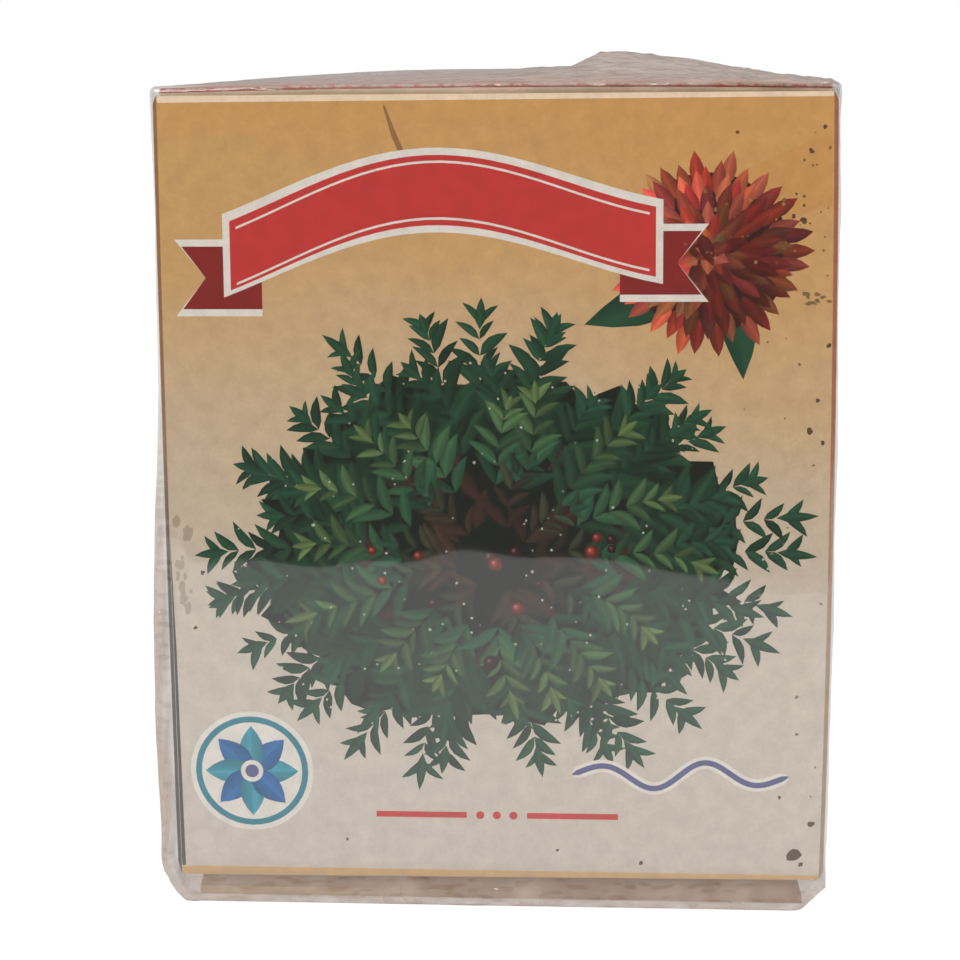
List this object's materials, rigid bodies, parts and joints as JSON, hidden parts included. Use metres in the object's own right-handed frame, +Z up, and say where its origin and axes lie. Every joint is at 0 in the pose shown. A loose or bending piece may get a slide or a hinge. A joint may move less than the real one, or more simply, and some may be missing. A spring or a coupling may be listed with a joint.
{
  "type": "shrink-wrapped folding carton with a dried resurrection plant inside",
  "caption": "Printed paperboard tuck-end carton in clear shrink film, which holds a dried, curled-up resurrection plant and stands on its wrapped base.",
  "frame": {"origin": "middle of the wrapped carton's footprint, on the surface it stands on", "axes": "+Z up, -Y out of the carton's printed front, +X to the right as the front is read"},
  "size_m": [0.09, 0.0632, 0.1121],
  "materials": {
    "printed_board": "printed and varnished paperboard",
    "clear_film": "clear, glossy, slightly wrinkled",
    "dry_fronds": "dry, scaly, matt"
  },
  "bodies": {
    "root": {"carton": "printed_board", "shrink_film": "clear_film", "dried_plant": "dry_fronds"}
  },
  "joints": []
}
